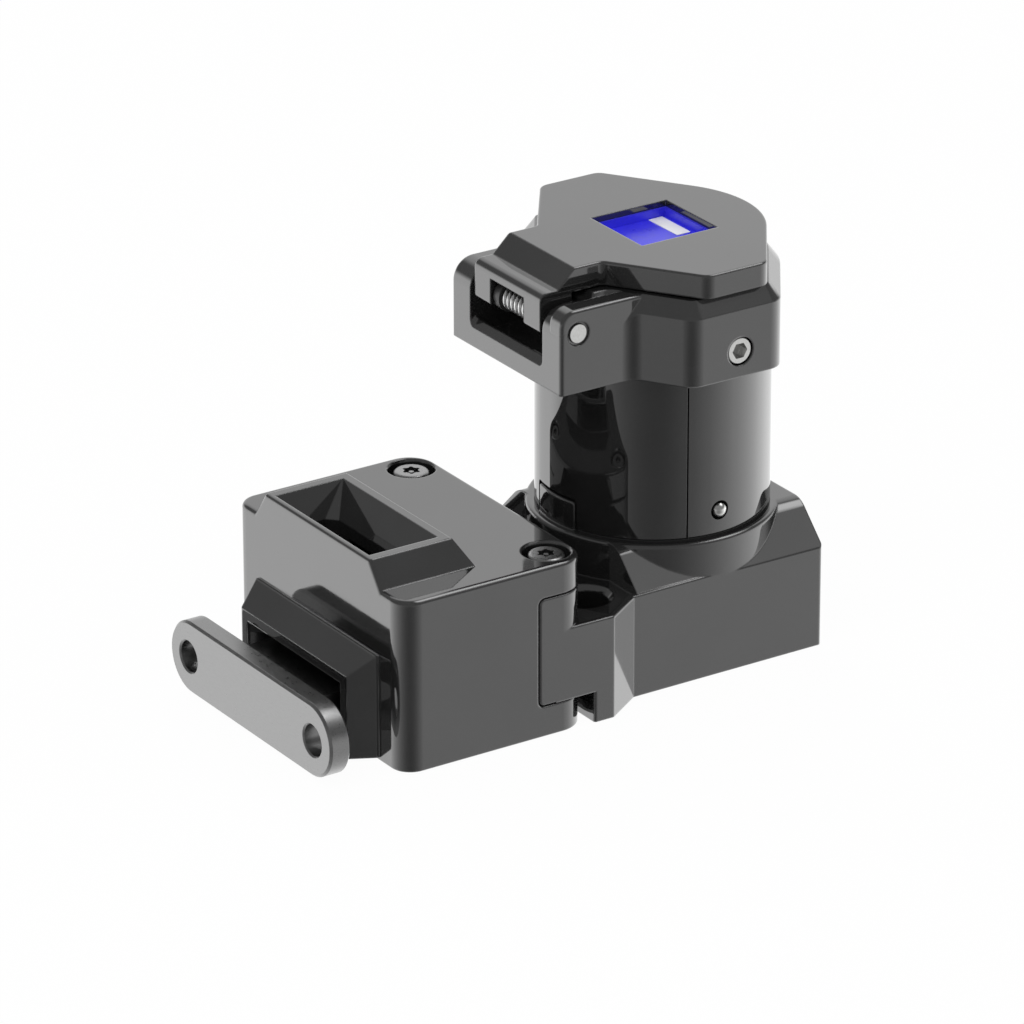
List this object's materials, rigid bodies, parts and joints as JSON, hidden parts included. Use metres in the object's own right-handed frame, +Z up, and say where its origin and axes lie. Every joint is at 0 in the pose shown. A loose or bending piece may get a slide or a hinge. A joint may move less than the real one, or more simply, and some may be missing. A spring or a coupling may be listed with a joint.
{
  "type": "trapped key interlock switch",
  "caption": "Guard interlock with a steel tongue actuator in a funnel head, and a key barrel under a sprung dust lid whose turned key throws a bolt into the latch cam.",
  "frame": {"origin": "axis of the key barrel on the flat mounting face", "axes": "+X away from the actuator, +Y across, +Z up along the barrel"},
  "size_m": [0.1266, 0.0654, 0.0927],
  "materials": {
    "housing_black": "gloss black enamel on die-cast metal",
    "barrel_black": "high gloss black enamel",
    "stainless": "fine brushed",
    "fastener_steel": "bright turned",
    "spring_steel": "bright drawn wire",
    "zinc": "plain die-cast zinc",
    "hardened_steel": "ground",
    "key_brass": "turned",
    "rubber_black": "matt",
    "label_blue": "gloss",
    "label_white": "satin",
    "spacer_black": "moulded"
  },
  "bodies": {
    "housing": {"head_housing": "housing_black", "head_screws": "fastener_steel", "cam_spring": "spring_steel", "body_housing": "housing_black", "body_cover": "housing_black", "cover_screws": "fastener_steel", "barrel_shell_front": "barrel_black", "barrel_shell_rear": "barrel_black", "barrel_gasket": "rubber_black", "lock_pins": "fastener_steel", "key_core": "zinc", "key_plate": "stainless", "hinge_cap": "housing_black", "hinge_pin": "fastener_steel", "set_screws": "fastener_steel", "lid_spring": "spring_steel", "spring_spacer": "spacer_black"},
    "actuator": {"actuator": "stainless"},
    "cam": {"latch_cam": "hardened_steel", "cam_shaft": "hardened_steel"},
    "bolt": {"slide_bolt": "hardened_steel"},
    "key_drive": {"key_rotor": "key_brass", "crank_shaft": "hardened_steel", "shaft_clip": "spring_steel"},
    "lid": {"lid": "housing_black", "lid_seal": "rubber_black", "label_tray": "label_blue", "label_strip": "label_white"}
  },
  "joints": [
    {"name": "lid_hinge", "type": "hinge", "parent": "housing", "child": "lid", "pos_m": [-0.0326, 0, 0.082], "axis": [0, -1, 0], "range_deg": [0, 105], "stiffness_Nm_per_rad": 0.02, "springref_deg": -28.65},
    {"name": "actuator_slide", "type": "slide", "parent": "housing", "child": "actuator", "axis": [-1, 0, 0], "range_m": [0, 0.026]},
    {"name": "cam_turn", "type": "hinge", "parent": "housing", "child": "cam", "pos_m": [-0.0595, 0, 0.024], "axis": [0, 1, 0], "range_deg": [0, 101.01]},
    {"name": "key_turn", "type": "hinge", "parent": "housing", "child": "key_drive", "pos_m": [0, 0, 0.05], "axis": [0, 0, 1], "range_deg": [0, 90]},
    {"name": "bolt_throw", "type": "slide", "parent": "housing", "child": "bolt", "axis": [-1, 0, 0], "range_m": [0, 0.005]}
  ],
  "couplings": [
    {"joint": "cam_turn", "follows": "actuator_slide", "rad_per_m": 67.797},
    {"joint": "bolt_throw", "follows": "key_turn", "m_per_rad": 0.003183}
  ]
}
